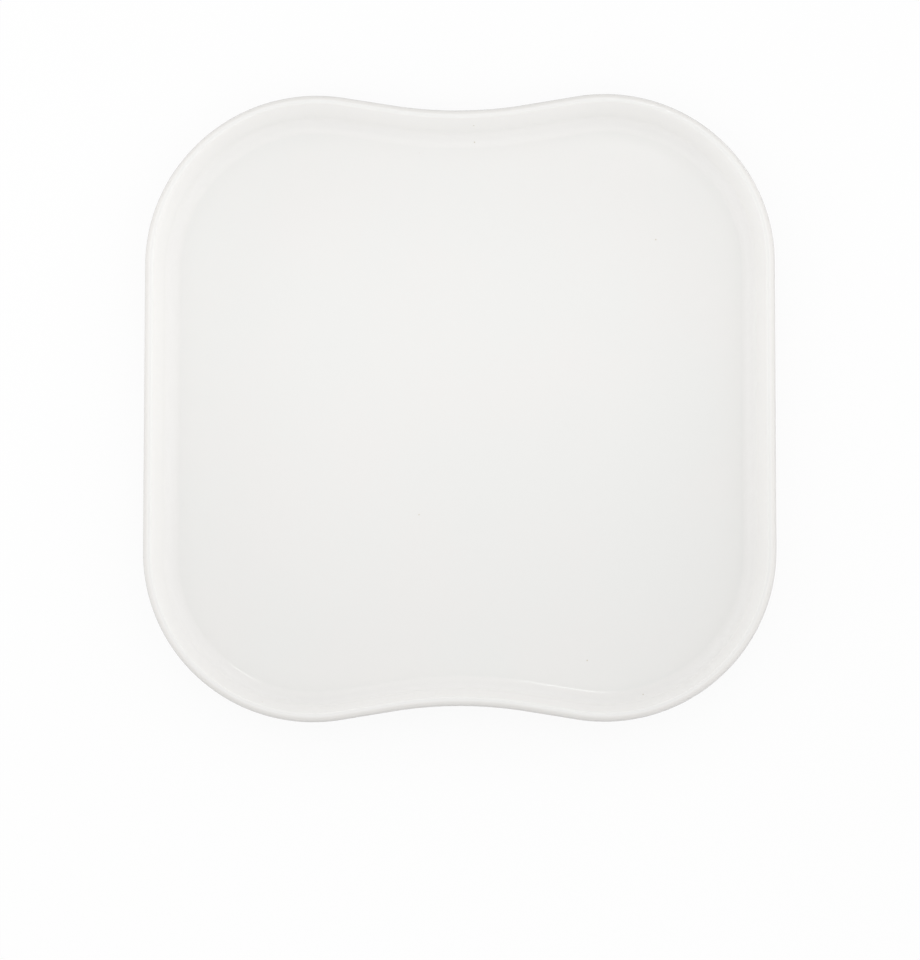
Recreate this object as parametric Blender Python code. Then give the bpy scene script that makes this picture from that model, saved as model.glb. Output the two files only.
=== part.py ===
"""A square porcelain plate with round corners and two dipped edges, lying on its foot ring.

The plate is one profile carried round one outline. The profile is a section through the wall, from the
well floor over the lip to the foot ring. The outline is the plate's widest line, seen from above.
"""

from math import cos, pi, radians, sin

import bmesh
import bpy
from mathutils import Vector

# Outline seen from above, in metres
SIDE = 0.270
CORNER_RADIUS = 0.0731
DIP_DEPTH = 0.0068
FLANK_SLOPE = radians(9.23)

# Section through the wall, in metres, measured on the finished glaze
HEIGHT = 0.024
LIP_INNER_RADIUS = 0.0012
LIP_OUTER_RADIUS = 0.0026
WALL_LEAN = radians(20)
FLOOR_HEIGHT = 0.0075
FILLET_RADIUS = 0.007
UNDERSIDE_HEIGHT = 0.0026
HEEL_RADIUS = 0.008

# Foot ring, in metres
FOOT_INSET = 0.024
FOOT_WIDTH = 0.0042
FOOT_DRAFT = radians(12)
FOOT_FILLET_RADIUS = 0.0009
FOOT_EDGE_RADIUS = 0.0005
BARE_HEIGHT = 0.0011

# Glaze coats, in metres: the gap stands for the fired bond
GLAZE_THICKNESS = 0.0004
BOND_GAP = 0.0003
BODY_DEPTH = GLAZE_THICKNESS + BOND_GAP

# Facets along each arc
CORNER_STEPS = 12
DIP_STEPS = 4
FILLET_STEPS = 4
LIP_INNER_STEPS = 3
LIP_OUTER_STEPS = 5
HEEL_STEPS = 3
FOOT_STEPS = 2
SMOOTH_BELOW = radians(40)

UP = pi / 2
OUT = pi
DOWN = 3 * pi / 2

# Finishes: name, linear colour, roughness
BISCUIT = ("biscuit_porcelain", (0.73, 0.70, 0.64), 0.75)
FACE_GLAZE = ("clear_glaze_face", (0.91, 0.90, 0.88), 0.09)
BASE_GLAZE = ("clear_glaze_base", (0.89, 0.88, 0.85), 0.12)


def direction(angle):
    """Unit step in the section, where x runs inwards from the outline and y is height."""
    return Vector((cos(angle), sin(angle)))


def angles(first, last, steps):
    """Evenly spaced angles from first to last, both included."""
    return [first + (last - first) * step / steps for step in range(steps + 1)]


def place_beside(normal, reach, height):
    """The point at this height that lies at this reach along the normal of a straight run."""
    return Vector(((reach - height * sin(normal)) / cos(normal), height))


def bulge(centre, radius, depth, turns):
    """Points of a convex arc, at this depth below the finished surface."""
    return [centre + (radius - depth) * direction(turn) for turn in turns]


def hollow(centre, radius, depth, turns):
    """Points of a concave arc, at this depth below the finished surface."""
    return [centre - (radius + depth) * direction(turn) for turn in turns]


def flank_reach(normal, inset):
    """Reach of the foot ring's flank that would meet the ground at this inset."""
    return inset * cos(normal)


def glaze_end(normal, reach, depth):
    """Where a coat ends on the flank of the foot ring, cut square to the surface."""
    return place_beside(normal, reach, BARE_HEIGHT) - depth * direction(normal)


def face_section(depth):
    """The section from the well floor over the lip to the foot ring, at a depth below the surface."""
    inner = WALL_LEAN
    outer = OUT + WALL_LEAN
    flank = OUT + FOOT_DRAFT
    lip_inside = Vector((LIP_OUTER_RADIUS, HEIGHT - LIP_INNER_RADIUS))
    lip_outside = Vector((LIP_OUTER_RADIUS, HEIGHT - LIP_OUTER_RADIUS))
    inner_reach = lip_inside.dot(direction(inner)) + LIP_INNER_RADIUS
    outer_reach = lip_outside.dot(direction(outer)) + LIP_OUTER_RADIUS
    foot_reach = flank_reach(flank, FOOT_INSET)
    fillet = place_beside(inner, inner_reach + FILLET_RADIUS, FLOOR_HEIGHT + FILLET_RADIUS)
    heel = place_beside(outer, outer_reach - HEEL_RADIUS, UNDERSIDE_HEIGHT + HEEL_RADIUS)
    foot = place_beside(flank, foot_reach + FOOT_FILLET_RADIUS, UNDERSIDE_HEIGHT - FOOT_FILLET_RADIUS)
    section = hollow(fillet, FILLET_RADIUS, depth, angles(UP, inner, FILLET_STEPS))
    section += bulge(lip_inside, LIP_INNER_RADIUS, depth, angles(inner, UP, LIP_INNER_STEPS))
    section += bulge(lip_outside, LIP_OUTER_RADIUS, depth, angles(UP, outer, LIP_OUTER_STEPS)[1:])
    section += bulge(heel, HEEL_RADIUS, depth, angles(outer, DOWN, HEEL_STEPS))
    section += hollow(foot, FOOT_FILLET_RADIUS, depth, angles(DOWN, flank, FOOT_STEPS))
    section.append(glaze_end(flank, foot_reach, depth))
    return section


def base_section(depth):
    """The section from the foot ring's inner flank to the flat recess, at a depth below the surface."""
    flank = 2 * pi - FOOT_DRAFT
    foot_reach = flank_reach(flank, FOOT_INSET + FOOT_WIDTH)
    foot = place_beside(flank, foot_reach + FOOT_FILLET_RADIUS, UNDERSIDE_HEIGHT - FOOT_FILLET_RADIUS)
    section = [glaze_end(flank, foot_reach, depth)]
    section += hollow(foot, FOOT_FILLET_RADIUS, depth, angles(flank, DOWN, FOOT_STEPS))
    return section


def foot_edge_section():
    """The bare edge that the plate stands on: two rounded corners and the flat between them."""
    outer = OUT + FOOT_DRAFT
    inner = 2 * pi - FOOT_DRAFT
    outer_reach = flank_reach(outer, FOOT_INSET) - BODY_DEPTH - FOOT_EDGE_RADIUS
    inner_reach = flank_reach(inner, FOOT_INSET + FOOT_WIDTH) - BODY_DEPTH - FOOT_EDGE_RADIUS
    outer_corner = place_beside(outer, outer_reach, FOOT_EDGE_RADIUS)
    inner_corner = place_beside(inner, inner_reach, FOOT_EDGE_RADIUS)
    section = bulge(outer_corner, FOOT_EDGE_RADIUS, 0, angles(outer, DOWN, FOOT_STEPS))
    section += bulge(inner_corner, FOOT_EDGE_RADIUS, 0, angles(DOWN, inner, FOOT_STEPS))
    return section


def dip_radius():
    """Radius of the hollow in the middle of a dipped edge, from the slope of its flanks."""
    half = SIDE / 2
    centre = half - CORNER_RADIUS
    flank_end = Vector((centre - CORNER_RADIUS * sin(FLANK_SLOPE), centre + CORNER_RADIUS * cos(FLANK_SLOPE)))
    rise = flank_end.y - (half - DIP_DEPTH)
    run = flank_end.x * sin(FLANK_SLOPE) / cos(FLANK_SLOPE)
    return (run - rise) * cos(FLANK_SLOPE) / (1 - cos(FLANK_SLOPE))


def outline():
    """Pairs of point and outward normal round the plate's widest line."""
    half = SIDE / 2
    centre = half - CORNER_RADIUS
    radius = dip_radius()
    right = Vector((centre, centre, 0))
    left = Vector((-centre, centre, 0))
    above = Vector((0, half - DIP_DEPTH + radius, 0))
    edge = []
    for angle in angles(0, UP + FLANK_SLOPE, CORNER_STEPS):
        normal = direction(angle).to_3d()
        edge.append((right + CORNER_RADIUS * normal, normal))
    for angle in angles(UP + FLANK_SLOPE, UP - FLANK_SLOPE, DIP_STEPS):
        normal = direction(angle).to_3d()
        edge.append((above - radius * normal, normal))
    for angle in angles(UP - FLANK_SLOPE, OUT, CORNER_STEPS):
        normal = direction(angle).to_3d()
        edge.append((left + CORNER_RADIUS * normal, normal))
    return edge + [(-point, -normal) for point, normal in edge]


def add_ring(mesh, edge, spot):
    """A closed ring of vertices that follows the outline at one point of the section."""
    inset, height = spot
    return [mesh.verts.new(point - inset * normal + Vector((0, 0, height))) for point, normal in edge]


def add_band(mesh, first, second):
    """Faces between two neighbouring rings."""
    for index in range(len(first)):
        after = (index + 1) % len(first)
        mesh.faces.new((first[index], first[after], second[after], second[index]))


def carry(name, section, finish):
    """A closed solid: the section carried round the outline, with a flat face across each end ring."""
    edge = outline()
    mesh = bmesh.new()
    rings = [add_ring(mesh, edge, spot) for spot in section]
    for first, second in zip(rings, rings[1:]):
        add_band(mesh, first, second)
    mesh.faces.new(rings[0])
    mesh.faces.new(rings[-1])
    bmesh.ops.recalc_face_normals(mesh, faces=mesh.faces)
    data = bpy.data.meshes.new(name)
    mesh.to_mesh(data)
    mesh.free()
    data.shade_smooth()
    data.set_sharp_from_angle(angle=SMOOTH_BELOW)
    data.materials.append(material(*finish))
    piece = bpy.data.objects.new(name, data)
    bpy.context.scene.collection.objects.link(piece)
    return piece


def material(name, colour, roughness):
    """A plain finish with one colour and one roughness."""
    made = bpy.data.materials.new(name)
    made.use_nodes = True
    shader = made.node_tree.nodes["Principled BSDF"]
    shader.inputs["Base Color"].default_value = (*colour, 1)
    shader.inputs["Roughness"].default_value = roughness
    shader.inputs["Metallic"].default_value = 0
    return made


def porcelain_body():
    """The fired clay: floor, wall, lip, heel and foot ring in one piece, bare on the foot ring's edge."""
    return carry("porcelain_body", face_section(BODY_DEPTH) + foot_edge_section() + base_section(BODY_DEPTH), BISCUIT)


def face_glaze():
    """The glass coat over the well, the wall, the lip and the outside."""
    under = face_section(GLAZE_THICKNESS)
    return carry("face_glaze", face_section(0) + under[::-1], FACE_GLAZE)


def base_glaze():
    """The glass coat on the underside, inside the foot ring."""
    under = base_section(GLAZE_THICKNESS)
    return carry("base_glaze", base_section(0)[::-1] + under, BASE_GLAZE)


for leftover in list(bpy.data.objects):
    bpy.data.objects.remove(leftover, do_unlink=True)
body = porcelain_body()
for coat in (face_glaze(), base_glaze()):
    coat.parent = body
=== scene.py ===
# %% [markdown]
# # A square plate in glazed porcelain
# The real plate is pressed from white clay, fired, coated with a clear glass called glaze, and fired again.
# So it has three pieces: the fired body, the glaze over the face, and the glaze inside the foot ring.
# All three follow one rule: a section through the wall is carried round the plate's outline.
# This lesson writes the outline and the sections as points. One Geometry Nodes tree carries them round.

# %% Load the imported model
from math import ceil, cos, pi, radians, sin, sqrt, tan

import bmesh
import bpy
from mathutils import Matrix, Vector


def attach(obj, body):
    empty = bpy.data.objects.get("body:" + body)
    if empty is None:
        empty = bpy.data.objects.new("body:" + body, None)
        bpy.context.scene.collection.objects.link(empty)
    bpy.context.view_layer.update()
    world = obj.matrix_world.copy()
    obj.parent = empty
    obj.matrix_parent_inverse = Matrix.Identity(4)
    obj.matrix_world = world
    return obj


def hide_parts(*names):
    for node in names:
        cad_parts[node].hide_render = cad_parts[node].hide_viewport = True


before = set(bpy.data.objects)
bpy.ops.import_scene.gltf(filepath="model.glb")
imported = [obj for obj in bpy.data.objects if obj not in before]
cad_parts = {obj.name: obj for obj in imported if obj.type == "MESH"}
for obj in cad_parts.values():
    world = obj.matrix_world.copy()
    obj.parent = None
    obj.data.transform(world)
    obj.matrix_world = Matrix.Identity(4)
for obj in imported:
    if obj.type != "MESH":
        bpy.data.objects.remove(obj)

scene = bpy.context.scene
scene.view_settings.view_transform = "Standard"
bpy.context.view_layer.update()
print("nodes:", sorted(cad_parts))

# %% [markdown]
# ## The outline
# Seen from above, the plate is a square with large round corners, and two opposite edges dip in the middle.
# It could be drawn as a Bezier curve by hand, but arcs have exact sizes and exact outward directions.
# Each corner arc runs on past the quarter turn, so that a straight flank leads down into the dip.

# %% Arcs and straight runs of an outline
OUTLINE_SPACING = 0.002
UP = pi / 2
OUT = pi
DOWN = 3 * pi / 2


def direction(angle):
    """A unit step at this angle, in the plane."""
    return Vector((cos(angle), sin(angle)))


def evenly(first, last, steps):
    """Values from first up to, but not including, last."""
    return [first + (last - first) * step / steps for step in range(steps)]


def arc_round(centre, radius, first, last):
    """Outline points of an arc, each with its outward direction. A negative radius makes a hollow."""
    steps = ceil(abs((last - first) * radius) / OUTLINE_SPACING)
    return [(centre + radius * direction(angle), direction(angle)) for angle in evenly(first, last, steps)]


def line_round(start, end, outward):
    """Outline points of a straight run."""
    steps = ceil((end - start).length / OUTLINE_SPACING)
    return [(start.lerp(end, part), outward) for part in evenly(0, 1, steps)]


print("spacing round the outline in millimetres:", OUTLINE_SPACING * 1000)

# %% The plate's outline
SIDE = 0.270
CORNER_RADIUS = 0.0731
DIP_DEPTH = 0.0068
FLANK_SLOPE = radians(9.23)


def plate_outline():
    """The whole outline: one half, then the same half turned round."""
    half = SIDE / 2
    reach = half - CORNER_RADIUS
    turned = UP + FLANK_SLOPE
    right = Vector((reach, reach))
    left = Vector((-reach, reach))
    corner_end = right + CORNER_RADIUS * direction(turned)
    drop = corner_end.x * tan(FLANK_SLOPE) - (corner_end.y - half + DIP_DEPTH)
    dip_radius = drop * cos(FLANK_SLOPE) / (1 - cos(FLANK_SLOPE))
    above = Vector((0, half - DIP_DEPTH + dip_radius))
    dip_start = above - dip_radius * direction(turned)
    dip_end = above - dip_radius * direction(OUT - turned)
    left_start = left + CORNER_RADIUS * direction(OUT - turned)
    points = line_round(Vector((half, -reach)), Vector((half, reach)), direction(0))
    points += arc_round(right, CORNER_RADIUS, 0, turned)
    points += line_round(corner_end, dip_start, direction(turned))
    points += arc_round(above, -dip_radius, turned, OUT - turned)
    points += line_round(dip_end, left_start, direction(OUT - turned))
    points += arc_round(left, CORNER_RADIUS, OUT - turned, OUT)
    print(f"dip radius {dip_radius * 1000:.1f} mm")
    return points + [(-point, -outward) for point, outward in points]


outline = plate_outline()
print("points round the outline:", len(outline))

# %% [markdown]
# ## The section
# A section through the wall is a chain of arcs: the fillet at the floor, the lip, the heel and the foot.
# The lip has two arcs that meet at its crest, a tight one inside and a fuller one outside.
# Straight runs join the arcs where they touch, so an arc's centre follows from the run beside it.
# Each point holds an inset from the outline, a height, how far it is drawn to the middle, and how glaze lies
# and where light is painted on it. Melted glaze gathers in tight hollows and thins over the outside of the
# lip.
# Upright faces are painted a shade whiter, as painted light against the shade at the foot of the wall,
# and the outside of the lip is painted darker: partly thin glaze, partly painted shade that draws the edge.
# So that last value goes up to 1 in a tight hollow, is 0 on a level face and -0.5 on an upright one, and
# goes down to -1 outside the lip.
# The wide fillet round the floor is as steep as it is hollow, and counts as part of the upright wall, so it
# is painted whiter too.

# %% Arcs and straight runs of a section
HOLLOW_GLAZE = 1.0
LEVEL_GLAZE = 0.0
# The upright mark paints a face a shade whiter: painted light against the shade at the foot of the wall.
UPRIGHT_PAINTED_LIGHT = -0.5
# The lip mark paints the outside of the lip darker: partly thin glaze, partly painted shade at the edge.
LIP_THIN_GLAZE_AND_SHADE = -1.0


def through(first, last, steps):
    """Values from first to last, both included."""
    return evenly(first, last, steps) + [last]


def beside(normal, reach, height):
    """The point at this height that lies at this reach along the normal of a straight run."""
    return Vector(((reach - height * sin(normal)) / cos(normal), height))


def arc(centre, radius, first, last, steps, gather=LEVEL_GLAZE):
    """Section points of an arc. A hollow has a negative radius, and the last argument tells how its
    middle is glazed and where it is painted lighter or darker as light and shade.
    """
    points = []
    lowest = min(gather, UPRIGHT_PAINTED_LIGHT)
    for part in through(0, 1, steps):
        normal = first + (last - first) * part
        spot = centre + radius * direction(normal)
        lies = gather * sqrt(sin(pi * part)) + UPRIGHT_PAINTED_LIGHT * abs(cos(normal))
        points.append((spot.x, spot.y, 0.0, max(lies, lowest)))
    return points


def run(start, end, steps):
    """Section points inside a straight run, without its ends."""
    parts = evenly(0, 1, steps)[1:]
    return [tuple(a + (b - a) * part for a, b in zip(start, end)) for part in parts]


def floor_run(edge, steps):
    """Section points from the middle of a flat floor out to its edge."""
    return [(edge[0], edge[1], 1 - part, LEVEL_GLAZE) for part in evenly(0, 1, steps)]


print("glaze runs from", HOLLOW_GLAZE, "in a tight hollow to", LIP_THIN_GLAZE_AND_SHADE, "outside the lip")

# %% [markdown]
# ## Sections of the three pieces
# The face section starts in the middle of the well, climbs the wall, goes over the lip and ends on the foot
# ring. There the real glaze is wiped off before firing and pulls back into a bead, so the coat ends in a half
# circle.
# The same chain, moved in by a small depth, gives the underside of the glaze and the top of the body.

# %% From the well over the lip to the foot ring
HEIGHT = 0.024
LIP_INNER_RADIUS = 0.0012
LIP_OUTER_RADIUS = 0.0026
WALL_LEAN = radians(20)
FLOOR_HEIGHT = 0.0075
FILLET_RADIUS = 0.007
UNDERSIDE_HEIGHT = 0.0026
HEEL_RADIUS = 0.008
FOOT_INSET = 0.024
FOOT_DRAFT = radians(12)
FOOT_FILLET_RADIUS = 0.0009
OUTER_FLANK = OUT + FOOT_DRAFT

# Steps along each run of a plain section. The shown side of a coat is fine, with three times as many.
WELL_STEPS = 12
FILLET_STEPS = 4
WALL_STEPS = 3
LIP_INNER_STEPS = 3
LIP_OUTER_STEPS = 6
HEEL_STEPS = 4
UNDERSIDE_STEPS = 2
FOOT_STEPS = 3
PLAIN = 1
FINE = 3


def face_section(depth, fine):
    """Middle of the well to the foot ring's outer flank, at a depth below the glaze."""
    inner = WALL_LEAN
    outer = OUT + WALL_LEAN
    lip_inside = Vector((LIP_OUTER_RADIUS, HEIGHT - LIP_INNER_RADIUS))
    lip_outside = Vector((LIP_OUTER_RADIUS, HEIGHT - LIP_OUTER_RADIUS))
    inner_reach = lip_inside.dot(direction(inner)) + LIP_INNER_RADIUS + FILLET_RADIUS
    outer_reach = lip_outside.dot(direction(outer)) + LIP_OUTER_RADIUS - HEEL_RADIUS
    foot_reach = FOOT_INSET * cos(OUTER_FLANK) + FOOT_FILLET_RADIUS
    fillet = beside(inner, inner_reach, FLOOR_HEIGHT + FILLET_RADIUS)
    heel = beside(outer, outer_reach, UNDERSIDE_HEIGHT + HEEL_RADIUS)
    foot = beside(OUTER_FLANK, foot_reach, UNDERSIDE_HEIGHT - FOOT_FILLET_RADIUS)
    # The fillet is marked upright, so it is painted a shade whiter: painted light against the shade at the
    # wall's foot.
    fillet_arc = arc(fillet, -FILLET_RADIUS - depth, UP, inner, FILLET_STEPS * fine, UPRIGHT_PAINTED_LIGHT)
    lip_arc = arc(lip_inside, LIP_INNER_RADIUS - depth, inner, UP, LIP_INNER_STEPS * fine)
    # Outside the lip the mark paints the glaze darker: partly thin glaze, partly painted shade at the plate's
    # edge.
    lip_arc += arc(lip_outside, LIP_OUTER_RADIUS - depth, UP, outer, LIP_OUTER_STEPS * fine, LIP_THIN_GLAZE_AND_SHADE)[1:]
    heel_arc = arc(heel, HEEL_RADIUS - depth, outer, DOWN, HEEL_STEPS * fine)
    foot_arc = arc(foot, -FOOT_FILLET_RADIUS - depth, DOWN, OUTER_FLANK, FOOT_STEPS * fine, HOLLOW_GLAZE)
    section = floor_run(fillet_arc[0], WELL_STEPS * fine) + fillet_arc
    section += run(fillet_arc[-1], lip_arc[0], WALL_STEPS * fine) + lip_arc
    section += run(lip_arc[-1], heel_arc[0], WALL_STEPS * fine) + heel_arc
    section += run(heel_arc[-1], foot_arc[0], UNDERSIDE_STEPS * fine) + foot_arc
    return section


print("points of a plain face section:", len(face_section(0, PLAIN)))

# %% Under the plate
FOOT_WIDTH = 0.0042
FOOT_EDGE_RADIUS = 0.0005
BARE_HEIGHT = 0.0011
GLAZE_THICKNESS = 0.0004
BODY_DEPTH = 0.00042
INNER_FLANK = 2 * pi - FOOT_DRAFT
INNER_INSET = FOOT_INSET + FOOT_WIDTH
RECESS_STEPS = 10
BEAD_STEPS = 8
FOOT_EDGE_STEPS = 5


def base_section(depth, fine):
    """Foot ring's inner flank to the middle of the recess, at a depth below the glaze."""
    foot_reach = INNER_INSET * cos(INNER_FLANK) + FOOT_FILLET_RADIUS
    foot = beside(INNER_FLANK, foot_reach, UNDERSIDE_HEIGHT - FOOT_FILLET_RADIUS)
    foot_arc = arc(foot, -FOOT_FILLET_RADIUS - depth, INNER_FLANK, DOWN, FOOT_STEPS * fine, HOLLOW_GLAZE)
    return foot_arc + floor_run(foot_arc[-1], RECESS_STEPS * fine)[::-1]


def bead(flank, inset):
    """The round end of a glaze coat on a flank of the foot ring, from its outside to its inside."""
    half = GLAZE_THICKNESS / 2
    end = beside(flank, inset * cos(flank), BARE_HEIGHT) - half * direction(flank)
    turn = pi if flank < DOWN else -pi
    return arc(end, half, flank, flank + turn, BEAD_STEPS, HOLLOW_GLAZE)


def foot_edge():
    """The bare edge that the plate stands on."""
    inward = BODY_DEPTH + FOOT_EDGE_RADIUS
    outer_corner = beside(OUTER_FLANK, FOOT_INSET * cos(OUTER_FLANK) - inward, FOOT_EDGE_RADIUS)
    inner_corner = beside(INNER_FLANK, INNER_INSET * cos(INNER_FLANK) - inward, FOOT_EDGE_RADIUS)
    outer_arc = arc(outer_corner, FOOT_EDGE_RADIUS, OUTER_FLANK, DOWN, FOOT_EDGE_STEPS)
    inner_arc = arc(inner_corner, FOOT_EDGE_RADIUS, DOWN, INNER_FLANK, FOOT_EDGE_STEPS)
    return outer_arc + run(outer_arc[-1], inner_arc[0], FOOT_EDGE_STEPS) + inner_arc


print("points across the bare foot edge:", len(foot_edge()))

# %% The three sections
face_bead = bead(OUTER_FLANK, FOOT_INSET)
base_bead = bead(INNER_FLANK, INNER_INSET)
sections = {
    "face_coat": face_section(0, FINE) + face_bead + face_section(GLAZE_THICKNESS, PLAIN)[::-1],
    "base_coat": base_section(0, FINE)[::-1] + base_bead + base_section(GLAZE_THICKNESS, PLAIN),
    "fired_body": face_section(BODY_DEPTH, PLAIN) + foot_edge() + base_section(BODY_DEPTH, PLAIN),
}
print("points across each section:", {name: len(points) for name, points in sections.items()})

# %% [markdown]
# ## Guides
# The outline and the sections become small guide objects that hold only points.
# The outline's points carry their outward direction, and a section's points say how the glaze lies there
# and where it is painted lighter or darker as light and shade.
# They are helpers, so they are removed once the pieces are made.

# %% Guide objects
def guide(name, points, attribute, kind, values):
    """An object of loose points with one named attribute."""
    data = bpy.data.meshes.new(name)
    data.from_pydata(points, [], [])
    stored = data.attributes.new(attribute, kind, "POINT")
    field = "vector" if kind == "FLOAT_VECTOR" else "value"
    for place, value in zip(stored.data, values):
        setattr(place, field, value)
    made = bpy.data.objects.new(name, data)
    scene.collection.objects.link(made)
    return made


outline_guide = guide(
    "outline_guide",
    [point.to_3d() for point, outward in outline],
    "outward",
    "FLOAT_VECTOR",
    [outward.to_3d() for point, outward in outline],
)
section_guides = {
    name: guide(name + "_guide", [spot[:3] for spot in spots], "gather", "FLOAT", [spot[3] for spot in spots])
    for name, spots in sections.items()
}
print("guides:", [outline_guide.name] + [one.name for one in section_guides.values()])

# %% [markdown]
# ## One function for nodes
# Geometry trees and materials are both made of nodes.
# One small function adds a node, gives it its settings, and links or fills its sockets.

# %% Add a node
def add(tree, kind, inputs=None, **settings):
    """Adds a node. An input that is another node's socket becomes a link, any other value is filled in."""
    node = tree.nodes.new(kind)
    for name, value in settings.items():
        setattr(node, name, value)
    for socket, value in (inputs or {}).items():
        if isinstance(value, bpy.types.NodeSocket):
            tree.links.new(value, node.inputs[socket])
        else:
            node.inputs[socket].default_value = value
    return node


print("nodes are added by:", add.__name__)

# %% [markdown]
# ## Carrying the section round
# A Curve to Mesh node could sweep the wall, but a sweep can't draw the floor's points to the middle.
# Here a flat grid gets one column for each outline point and one row for each section point.
# One more column ends up on the first, and merging the two closes the ring.
# Set Position then moves every grid point by the rule: outline point, minus inset times outward, plus height.
# The tree's inputs are named, so that one tree makes all three pieces.

# %% The tree and its inputs
CARRY_INPUTS = {
    "Outline": "NodeSocketObject",
    "Section": "NodeSocketObject",
    "Unevenness": "NodeSocketFloat",
    "Patch width": "NodeSocketFloat",
    "Seed": "NodeSocketFloat",
    "Finish": "NodeSocketMaterial",
}
carry = bpy.data.node_groups.new("carry_section_round_outline", "GeometryNodeTree")
carry_sockets = {
    name: carry.interface.new_socket(name, in_out="INPUT", socket_type=kind).identifier
    for name, kind in CARRY_INPUTS.items()
}
carry.interface.new_socket("Geometry", in_out="OUTPUT", socket_type="NodeSocketGeometry")
given = add(carry, "NodeGroupInput").outputs
print("inputs:", carry_sockets)

# %% A grid of columns and rows
round_points = add(carry, "GeometryNodeObjectInfo", {"Object": given["Outline"]}).outputs["Geometry"]
across_points = add(carry, "GeometryNodeObjectInfo", {"Object": given["Section"]}).outputs["Geometry"]
columns = add(carry, "GeometryNodeAttributeDomainSize", {"Geometry": round_points}).outputs["Point Count"]
rows = add(carry, "GeometryNodeAttributeDomainSize", {"Geometry": across_points}).outputs["Point Count"]
with_seam = add(carry, "FunctionNodeIntegerMath", {0: columns, 1: 1}, operation="ADD").outputs[0]
grid = add(carry, "GeometryNodeMeshGrid", {"Vertices X": with_seam, "Vertices Y": rows}).outputs["Mesh"]
index = add(carry, "GeometryNodeInputIndex").outputs[0]
row = add(carry, "FunctionNodeIntegerMath", {0: index, 1: rows}, operation="MODULO").outputs[0]
along = add(carry, "FunctionNodeIntegerMath", {0: index, 1: rows}, operation="DIVIDE").outputs[0]
column = add(carry, "FunctionNodeIntegerMath", {0: along, 1: columns}, operation="MODULO").outputs[0]
print("nodes so far:", len(carry.nodes))

# %% Look up the guides' points
NAMED = "GeometryNodeInputNamedAttribute"
position = add(carry, "GeometryNodeInputPosition").outputs[0]
outward = add(carry, NAMED, {"Name": "outward"}, data_type="FLOAT_VECTOR").outputs[0]
gather = add(carry, NAMED, {"Name": "gather"}, data_type="FLOAT").outputs[0]
found = {}
for name, points, value, place, kind in (
    ("edge", round_points, position, column, "FLOAT_VECTOR"),
    ("outward", round_points, outward, column, "FLOAT_VECTOR"),
    ("spot", across_points, position, row, "FLOAT_VECTOR"),
    ("gather", across_points, gather, row, "FLOAT"),
):
    inputs = {"Geometry": points, "Value": value, "Index": place}
    found[name] = add(carry, "GeometryNodeSampleIndex", inputs, data_type=kind).outputs[0]
print("looked up:", list(found))

# %% Place every point by the rule
SAME_POINT = 1e-6
inset, height, drawn = add(carry, "ShaderNodeSeparateXYZ", {0: found["spot"]}).outputs
inset_step = {0: found["outward"], "Scale": inset}
inward = add(carry, "ShaderNodeVectorMath", inset_step, operation="SCALE").outputs[0]
ring = add(carry, "ShaderNodeVectorMath", {0: found["edge"], 1: inward}, operation="SUBTRACT").outputs[0]
kept = add(carry, "ShaderNodeMath", {0: 1.0, 1: drawn}, operation="SUBTRACT").outputs[0]
flat = add(carry, "ShaderNodeVectorMath", {0: ring, "Scale": kept}, operation="SCALE").outputs[0]
lift = add(carry, "ShaderNodeCombineXYZ", {"Z": height}).outputs[0]
place = add(carry, "ShaderNodeVectorMath", {0: flat, 1: lift}, operation="ADD").outputs[0]
# The section's glaze value, with its painted light on upright faces and painted shade outside the lip, goes
# on the mesh.
noted = {"Geometry": grid, "Name": "gather", "Value": found["gather"]}
marked = add(carry, "GeometryNodeStoreNamedAttribute", noted).outputs[0]
shaped = add(carry, "GeometryNodeSetPosition", {"Geometry": marked, "Position": place}).outputs[0]
joined = add(carry, "GeometryNodeMergeByDistance", {"Geometry": shaped, "Distance": SAME_POINT}).outputs[0]
print("nodes so far:", len(carry.nodes))

# %% [markdown]
# ## Kiln unevenness
# Heat leaves a real glaze a few hundredths of a millimetre uneven, and its reflections show it.
# A slow noise with a fixed seed moves each point along its normal, and then the tree hands over the mesh.

# %% Uneven glaze, and the end of the tree
NOISE_MIDDLE = 0.5
fineness = add(carry, "ShaderNodeMath", {0: 1.0, 1: given["Patch width"]}, operation="DIVIDE").outputs[0]
patch = {"Vector": position, "W": given["Seed"], "Scale": fineness, "Detail": 1.0}
patches = add(carry, "ShaderNodeTexNoise", patch, noise_dimensions="4D").outputs[0]
swing = add(carry, "ShaderNodeMath", {0: patches, 1: NOISE_MIDDLE}, operation="SUBTRACT").outputs[0]
swell = add(carry, "ShaderNodeMath", {0: swing, 1: given["Unevenness"]}, operation="MULTIPLY").outputs[0]
normal = add(carry, "GeometryNodeInputNormal").outputs[0]
shift = add(carry, "ShaderNodeVectorMath", {0: normal, "Scale": swell}, operation="SCALE").outputs[0]
uneven = add(carry, "GeometryNodeSetPosition", {"Geometry": joined, "Offset": shift}).outputs[0]
smooth = add(carry, "GeometryNodeSetShadeSmooth", {"Geometry": uneven}).outputs[0]
real = add(carry, "GeometryNodeRealizeInstances", {"Geometry": smooth}).outputs[0]
finished = add(carry, "GeometryNodeSetMaterial", {"Geometry": real, "Material": given["Finish"]}).outputs[0]
add(carry, "NodeGroupOutput", {0: finished})
print("nodes in the tree:", len(carry.nodes))

# %% [markdown]
# ## Colours
# Colours are written as sRGB hex values, as a colour picker shows them, and shaders want linear light.
# A Mix node that mixes colours keeps those sockets at fixed places, which get names here.

# %% Colours for shaders
MIX_SHARE = 0
MIX_FIRST = 6
MIX_SECOND = 7
MIXED = 2


def linear(hex_colour):
    """An sRGB hex colour as linear red, green, blue and alpha, by the curve of the sRGB standard."""
    parts = [int(hex_colour[place:place + 2], 16) / 255 for place in (0, 2, 4)]
    return [part / 12.92 if part <= 0.04045 else ((part + 0.055) / 1.055) ** 2.4 for part in parts] + [1.0]


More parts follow.
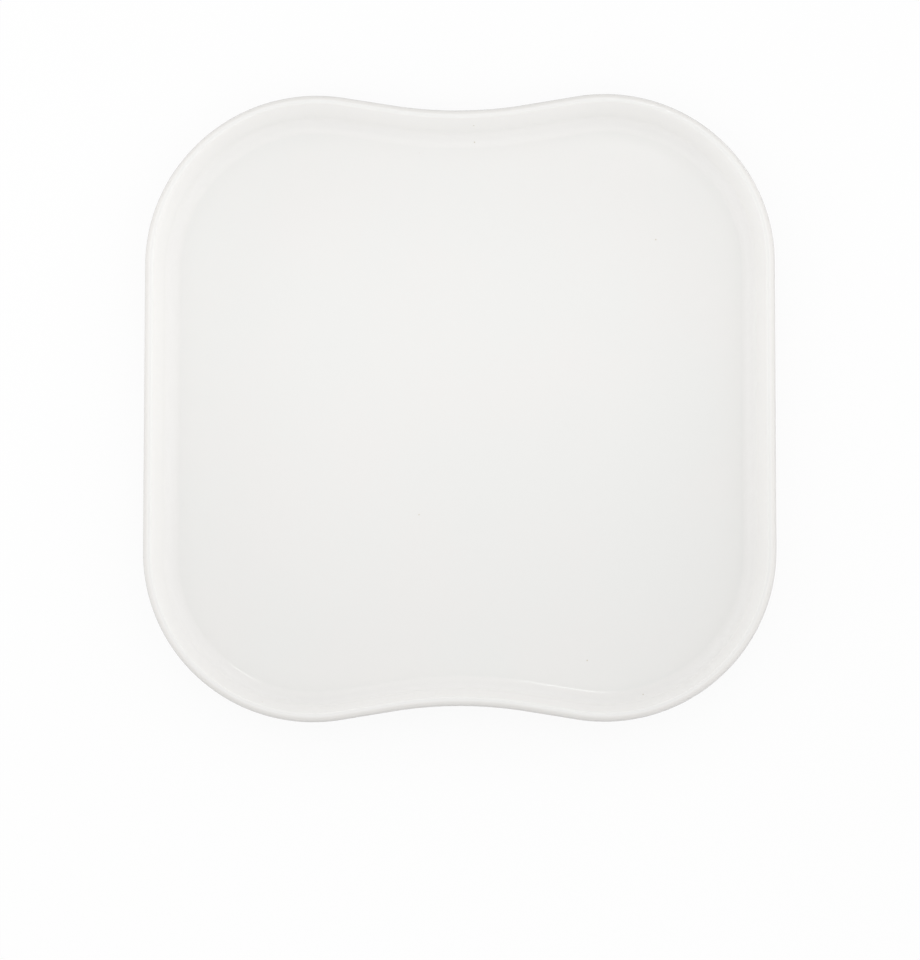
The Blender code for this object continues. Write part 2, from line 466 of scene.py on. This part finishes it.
def empty_material(name):
    """A new material with no nodes yet, and its tree."""
    material = bpy.data.materials.new(name)
    material.use_nodes = True
    material.node_tree.nodes.clear()
    return material, material.node_tree


print("middle grey in linear light:", [round(part, 3) for part in linear("808080")])

# %% [markdown]
# ## Glazed porcelain
# White porcelain under a clear feldspar glaze, fired glossy: a warm white with sharp but wavy reflections.
# A bare Principled shader would give the gloss, but not the traces of clay, glaze and kiln on a real plate.
# First the tone: a level face is an even white with broad clouds in it, and upright faces are painted a shade
# whiter, as painted light against the shade they stand in. In tight hollows the glaze is cooler. The outside
# of
# the lip is painted warmer and darker: partly clay under thin glaze, partly painted shade that draws the
# edge.

# %% Tone of the glaze
CLOUD_WIDTH = 0.06
CLOUD_START = 0.35
CLOUD_FULL = 0.65


def glaze_tone_and_painted_light(tree, place, level, cloudy, hollow, upright, lip):
    """The colour of the coat, from where it lies, without specks.
    Upright faces get painted light and the outside of the lip painted shade.
    """
    gather = add(tree, "ShaderNodeAttribute", attribute_name="gather").outputs["Fac"]
    drift = {"Vector": place, "Scale": 1 / CLOUD_WIDTH, "Detail": 2.0}
    cloud = add(tree, "ShaderNodeTexNoise", drift).outputs[0]
    tone = linear(level)
    for value, start, full, colour in (
        (cloud, CLOUD_START, CLOUD_FULL, cloudy),
        (gather, LEVEL_GLAZE, HOLLOW_GLAZE, hollow),
        # Upright faces: a whiter colour, painted light against the shade at the wall's foot.
        (gather, LEVEL_GLAZE, UPRIGHT_PAINTED_LIGHT, upright),
        # Outside the lip: a darker colour, partly thin glaze, partly painted shade at the edge.
        (gather, UPRIGHT_PAINTED_LIGHT, LIP_THIN_GLAZE_AND_SHADE, lip),
    ):
        ramp = {"Value": value, "From Min": start, "From Max": full}
        share = add(tree, "ShaderNodeMapRange", ramp).outputs[0]
        mix = {MIX_SHARE: share, MIX_FIRST: tone, MIX_SECOND: linear(colour)}
        tone = add(tree, "ShaderNodeMix", mix, data_type="RGBA").outputs[MIXED]
    return tone


print("clouds in the glaze, millimetres wide:", CLOUD_WIDTH * 1000)

# %% [markdown]
# ## Iron specks
# A few grains of iron in the clay melt into the glaze as faint warm dots, under a millimetre across.
# A Voronoi texture gives each cell one grain, and only a small share of the cells keeps its grain.

# %% Iron specks
SPECK_SPACING = 0.006
SPECK_RADIUS = 0.0004
SPECK_SHARE = 0.05


def with_specks(tree, place, tone, speck):
    """The tone with a few faint specks in it."""
    grains = add(tree, "ShaderNodeTexVoronoi", {"Vector": place, "Scale": 1 / SPECK_SPACING}).outputs
    rim = SPECK_RADIUS / SPECK_SPACING
    fade = {"Value": grains["Distance"], "From Min": rim, "From Max": rim / 2}
    near = add(tree, "ShaderNodeMapRange", fade).outputs[0]
    chance = add(tree, "ShaderNodeSeparateColor", {0: grains["Color"]}).outputs[0]
    chosen = add(tree, "ShaderNodeMath", {0: chance, 1: SPECK_SHARE}, operation="LESS_THAN").outputs[0]
    iron = add(tree, "ShaderNodeMath", {0: near, 1: chosen}, operation="MULTIPLY").outputs[0]
    mix = {MIX_SHARE: iron, MIX_FIRST: tone, MIX_SECOND: linear(speck)}
    return add(tree, "ShaderNodeMix", mix, data_type="RGBA").outputs[MIXED]


print("one cell in", round(1 / SPECK_SHARE), "keeps its grain")

# %% [markdown]
# ## Relief and gloss
# Melted glass levels itself, but not fully: slow waves and a finer orange peel stay, too shallow to feel.
# They go into a bump, and the peel also makes the gloss a little uneven.

# %% The finish of a glaze coat
GLAZE_IOR = 1.52
WAVE_WIDTH = 0.018
WAVE_HEIGHT = 0.000008
PEEL_WIDTH = 0.003
PEEL_HEIGHT = 0.0000006
GLOSSIEST = 0.06
DULLEST = 0.11


def glazed_porcelain(name, speck, **colours):
    """The finish of a glaze coat, from the colour of its specks and of the coat where it lies."""
    material, tree = empty_material(name)
    place = add(tree, "ShaderNodeTexCoord").outputs["Object"]
    coat = with_specks(tree, place, glaze_tone_and_painted_light(tree, place, **colours), speck)
    slow = {"Vector": place, "Scale": 1 / WAVE_WIDTH, "Detail": 0.0}
    quick = {"Vector": place, "Scale": 1 / PEEL_WIDTH, "Detail": 1.0}
    waves = add(tree, "ShaderNodeTexNoise", slow).outputs[0]
    peel = add(tree, "ShaderNodeTexNoise", quick).outputs[0]
    bump = add(tree, "ShaderNodeBump", {"Distance": WAVE_HEIGHT, "Height": waves}).outputs[0]
    bump = add(tree, "ShaderNodeBump", {"Distance": PEEL_HEIGHT, "Height": peel, "Normal": bump}).outputs[0]
    sheen = {"Value": peel, "To Min": GLOSSIEST, "To Max": DULLEST}
    gloss = add(tree, "ShaderNodeMapRange", sheen).outputs[0]
    glass = {"Base Color": coat, "Roughness": gloss, "IOR": GLAZE_IOR, "Normal": bump}
    shader = add(tree, "ShaderNodeBsdfPrincipled", glass).outputs[0]
    add(tree, "ShaderNodeOutputMaterial", {"Surface": shader})
    return material


# The upright colours are painted light, a shade whiter; the lip colours are a shade darker, partly painted
# shade.
face_finish = glazed_porcelain(
    "glazed_porcelain_face",
    speck="dcd6ca",
    level="f5f4f2",
    cloudy="f4f4f2",
    hollow="f4f4f2",
    upright="f8f7f5",
    lip="f3f1ee",
)
base_finish = glazed_porcelain(
    "glazed_porcelain_base",
    speck="dcd6ca",
    level="f2f1ed",
    cloudy="f0f0ec",
    hollow="f2f2ef",
    upright="f4f3f0",
    lip="ebe9e2",
)
print("glaze finishes:", face_finish.name, base_finish.name)

# %% [markdown]
# ## Bare biscuit porcelain
# The foot ring is ground after firing and has no glaze, so it is matt, a shade darker and finely grained.
# Handling leaves faint grey smudges on it. The grit is drawn about twice as coarse as real, so that it shows.

# %% Bare biscuit porcelain
GRIT_WIDTH = 0.0004
GRIT_HEIGHT = 0.00004
GRIT_STRENGTH = 0.6
SMOOTHEST_CLAY = 0.7
ROUGHEST_CLAY = 0.9
SMUDGE_WIDTH = 0.012
SMUDGE_START = 0.5
SMUDGE_FULL = 0.75
SMUDGE_SHARE = 0.5


def biscuit_porcelain():
    """The finish of the fired clay where no glaze covers it."""
    material, tree = empty_material("bare_biscuit_porcelain")
    place = add(tree, "ShaderNodeTexCoord").outputs["Object"]
    sand = {"Vector": place, "Scale": 1 / GRIT_WIDTH, "Detail": 2.0}
    touch = {"Vector": place, "Scale": 1 / SMUDGE_WIDTH, "Detail": 3.0}
    grit = add(tree, "ShaderNodeTexNoise", sand).outputs[0]
    smudge = add(tree, "ShaderNodeTexNoise", touch).outputs[0]
    grain = {MIX_SHARE: grit, MIX_FIRST: linear("d9d3c8"), MIX_SECOND: linear("e6e1d8")}
    clay = add(tree, "ShaderNodeMix", grain, data_type="RGBA").outputs[MIXED]
    ramp = {"Value": smudge, "From Min": SMUDGE_START, "From Max": SMUDGE_FULL, "To Max": SMUDGE_SHARE}
    grey = add(tree, "ShaderNodeMapRange", ramp).outputs[0]
    dirt = {MIX_SHARE: grey, MIX_FIRST: clay, MIX_SECOND: linear("bdb8ae")}
    clay = add(tree, "ShaderNodeMix", dirt, data_type="RGBA").outputs[MIXED]
    matt = {"Value": grit, "To Min": SMOOTHEST_CLAY, "To Max": ROUGHEST_CLAY}
    rough = add(tree, "ShaderNodeMapRange", matt).outputs[0]
    relief = {"Strength": GRIT_STRENGTH, "Distance": GRIT_HEIGHT, "Height": grit}
    bump = add(tree, "ShaderNodeBump", relief).outputs[0]
    stone = {"Base Color": clay, "Roughness": rough, "Normal": bump}
    shader = add(tree, "ShaderNodeBsdfPrincipled", stone).outputs[0]
    add(tree, "ShaderNodeOutputMaterial", {"Surface": shader})
    return material


bare_finish = biscuit_porcelain()
print("foot finish:", bare_finish.name)

# %% [markdown]
# ## Making the pieces
# Each piece starts as an object without points, with the tree as its modifier. The modifier's inputs are set
# before Blender first works it out.
# The result is then copied into a plain mesh, the modifier goes, and the piece stands for its CAD node.
# Which way the faces point depends on which way a section runs, so at the end all are turned outwards.
# The body isn't glass, so it stays even.

# %% The three pieces
GLAZE_UNEVENNESS = 0.00006
GLAZE_PATCH_WIDTH = 0.05
FACE_SEED = 3.0
BASE_SEED = 5.0
BODY_UNEVENNESS = 0.0
BODY_SEED = 0.0


def point_outwards(mesh):
    """Turns the faces of a closed mesh outwards."""
    shell = bmesh.new()
    shell.from_mesh(mesh)
    bmesh.ops.recalc_face_normals(shell, faces=shell.faces)
    shell.to_mesh(mesh)
    shell.free()


def make_piece(name, finish, unevenness, seed):
    """Runs the tree for one section and returns the finished piece."""
    piece = bpy.data.objects.new(name, bpy.data.meshes.new(name + "_start"))
    modifier = piece.modifiers.new("carry", "NODES")
    modifier.node_group = carry
    modifier[carry_sockets["Outline"]] = outline_guide
    modifier[carry_sockets["Section"]] = section_guides[name]
    modifier[carry_sockets["Unevenness"]] = unevenness
    modifier[carry_sockets["Patch width"]] = GLAZE_PATCH_WIDTH
    modifier[carry_sockets["Seed"]] = seed
    modifier[carry_sockets["Finish"]] = finish
    scene.collection.objects.link(piece)
    graph = bpy.context.evaluated_depsgraph_get()
    mesh = bpy.data.meshes.new_from_object(piece.evaluated_get(graph))
    mesh.name = name
    point_outwards(mesh)
    piece.modifiers.clear()
    piece.data = mesh
    return piece


face_coat = make_piece("face_coat", face_finish, GLAZE_UNEVENNESS, FACE_SEED)
base_coat = make_piece("base_coat", base_finish, GLAZE_UNEVENNESS, BASE_SEED)
fired_body = make_piece("fired_body", bare_finish, BODY_UNEVENNESS, BODY_SEED)
for helper in [outline_guide, *section_guides.values()]:
    bpy.data.objects.remove(helper)
for piece, node, slot in (
    (face_coat, "face_glaze", "clear_glaze_face"),
    (base_coat, "base_glaze", "clear_glaze_base"),
    (fired_body, "porcelain_body", "biscuit_porcelain"),
):
    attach(piece, "root")
    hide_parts(node)
    size = [round(side, 4) for side in piece.dimensions]
    print(piece.name, "faces:", len(piece.data.polygons), "size in metres:", size)

# %% [markdown]
# ## The camera
# The plate is seen from almost straight above, from a long way off, so its edges stay nearly parallel.
# The camera's place, aim and lens were fitted to the plate's outline in a photograph.

# %% Camera
CAMERA_PLACE = Vector((0.0894, -0.2997, 2.3490))
CAMERA_AIM = Vector((0.0004, -0.0317, 0.0220))
CAMERA_UP = Vector((-0.0008, 1.0, 0.0))
CAMERA_LENS = 206.15


def look(place, aim, upright):
    """A matrix that puts a camera or lamp at a place, facing the aim."""
    back = (place - aim).normalized()
    right = upright.cross(back).normalized()
    turn = Matrix((right, back.cross(right), back)).transposed()
    return Matrix.Translation(place) @ turn.to_4x4()


camera = bpy.data.objects.new("camera", bpy.data.cameras.new("camera"))
camera.data.lens = CAMERA_LENS
camera.matrix_world = look(CAMERA_PLACE, CAMERA_AIM, CAMERA_UP)
scene.collection.objects.link(camera)
scene.camera = camera
print("camera to plate:", round((CAMERA_PLACE - CAMERA_AIM).length, 3), "m")

# %% [markdown]
# ## Floor
# A white sheet lies under the plate. The camera and reflections see it white, with the plate's shadow on it.
# White paper would also throw much light up under the rim, where a studio hangs dark cloth to draw the edge.
# So the sheet is grey for the light that it throws back, and the rim stands out from the white ground.

# %% Floor
PAPER_WHITE = "ffffff"
PAPER_FOR_LIGHT = "4c4c4c"
PAPER_OWN_WHITE = 0.9
FLOOR_REACH = 6.0


def seen_rays(tree):
    """1 where the camera sees a surface directly, in a reflection or through glass, and 0 for other light."""
    rays = add(tree, "ShaderNodeLightPath").outputs
    direct = {0: rays["Is Camera Ray"], 1: rays["Is Glossy Ray"]}
    mirrored = add(tree, "ShaderNodeMath", direct, operation="MAXIMUM").outputs[0]
    through_glass = {0: mirrored, 1: rays["Is Transmission Ray"]}
    return add(tree, "ShaderNodeMath", through_glass, operation="MAXIMUM").outputs[0]


def studio_paper():
    """Paper that is mostly its own white where it is seen. A little real light keeps the shadow."""
    material, tree = empty_material("studio_paper")
    seen = seen_rays(tree)
    mix = {MIX_SHARE: seen, MIX_FIRST: linear(PAPER_FOR_LIGHT), MIX_SECOND: linear(PAPER_WHITE)}
    tone = add(tree, "ShaderNodeMix", mix, data_type="RGBA").outputs[MIXED]
    paper = add(tree, "ShaderNodeBsdfDiffuse", {"Color": tone}).outputs[0]
    white = add(tree, "ShaderNodeEmission", {"Color": linear(PAPER_WHITE)}).outputs[0]
    share = add(tree, "ShaderNodeMath", {0: seen, 1: PAPER_OWN_WHITE}, operation="MULTIPLY").outputs[0]
    mixed = add(tree, "ShaderNodeMixShader", {0: share, 1: paper, 2: white}).outputs[0]
    add(tree, "ShaderNodeOutputMaterial", {"Surface": mixed})
    return material


floor_mesh = bpy.data.meshes.new("floor")
floor_corners = [(FLOOR_REACH * x, FLOOR_REACH * y, 0) for x, y in ((-1, -1), (1, -1), (1, 1), (-1, 1))]
floor_mesh.from_pydata(floor_corners, [], [(0, 1, 2, 3)])
floor_mesh.materials.append(studio_paper())
floor = bpy.data.objects.new("floor", floor_mesh)
scene.collection.objects.link(floor)
print("floor:", floor.name, FLOOR_REACH * 2, "m wide")

# %% [markdown]
# ## Lamps
# White gloss mirrors every lamp as a patch with edges, so a plate is lit by large panels, not by small lamps.
# Two long panels hang left and right and reach round to the back. Their mirror images draw the line where
# the wall meets the floor. A small far lamp, high at the back, leaves one short streak on that line.
# Three more lamps shine through cloth, so they have no mirror image. Two stand below the panels and light
# the lip from the sides. A strip hangs low over the back half, so that the well is brightest there.

# %% Lamps
def softbox(name, azimuth, elevation, distance, width, height, watts):
    """A lamp of this width and height that faces the plate. Azimuth 0 is to the right and 90 to the back."""
    turn, rise = radians(azimuth), radians(elevation)
    place = distance * Vector((cos(turn) * cos(rise), sin(turn) * cos(rise), sin(rise)))
    lamp = bpy.data.lights.new(name, "AREA")
    lamp.shape = "RECTANGLE"
    lamp.size = width
    lamp.size_y = height
    lamp.energy = watts
    box = bpy.data.objects.new(name, lamp)
    box.matrix_world = look(place, Vector((0, 0, 0)), Vector((0, 0, 1)))
    box.visible_camera = False
    scene.collection.objects.link(box)
    return box


softbox("panel_right", azimuth=22, elevation=40, distance=1.2, width=2.3, height=0.8, watts=1.45)
softbox("panel_left", azimuth=168, elevation=40, distance=1.2, width=2.0, height=0.8, watts=2.64)
softbox("streak_lamp", azimuth=84.5, elevation=75, distance=3.6, width=0.1, height=0.3, watts=0.65)
behind_cloth = (
    softbox("low_right", azimuth=22, elevation=10.5, distance=1.2, width=2.3, height=0.42, watts=1.72),
    softbox("low_left", azimuth=168, elevation=10.5, distance=1.2, width=2.0, height=0.42, watts=2.97),
    softbox("strip_over_back", azimuth=90, elevation=70, distance=0.2, width=0.5, height=0.08, watts=0.068),
)
for lamp in behind_cloth:
    lamp.visible_glossy = False

# %% [markdown]
# ## The tent
# A tent of white cloth stands round the plate and gives most of the light. It is the world's background here.
# It glows faintly everywhere, and more overhead, near the floor, in front and on the right.
# The glaze mirrors that glow. Where the camera looks past the plate, the cloth is plain white.

# %% Tent
CLOTH_WHITE = "ffffff"
CLOTH_SEEN = 1.0
TENT_EVERYWHERE = 0.37
TENT_PARTS = (
    # axis, direction's part along it where the glow starts, where it is full, and how strong it is
    ("Z", 0.5, 1.0, 0.34),
    ("Z", 0.6, 0.1, 0.38),
    ("Y", 0.3, -1.0, 0.21),
    ("X", -0.3, 1.0, 0.34),
)

world = bpy.data.worlds.new("tent")
world.use_nodes = True
cloth = world.node_tree
cloth.nodes.clear()
ray = add(cloth, "ShaderNodeTexCoord").outputs["Generated"]
ray_parts = add(cloth, "ShaderNodeSeparateXYZ", {0: ray}).outputs
glow = TENT_EVERYWHERE
for axis, start, full, strength in TENT_PARTS:
    ramp = {"Value": ray_parts[axis], "From Min": start, "From Max": full, "To Max": strength}
    part = add(cloth, "ShaderNodeMapRange", ramp, interpolation_type="SMOOTHSTEP").outputs[0]
    glow = add(cloth, "ShaderNodeMath", {0: part, 1: glow}, operation="ADD").outputs[0]
looking = add(cloth, "ShaderNodeLightPath").outputs["Is Camera Ray"]
choice = {"Value": looking, "To Min": glow, "To Max": CLOTH_SEEN}
shown = add(cloth, "ShaderNodeMapRange", choice).outputs[0]
background = {"Color": linear(CLOTH_WHITE), "Strength": shown}
surface = add(cloth, "ShaderNodeBackground", background).outputs[0]
add(cloth, "ShaderNodeOutputWorld", {"Surface": surface})
scene.world = world
print("tent parts:", len(TENT_PARTS))
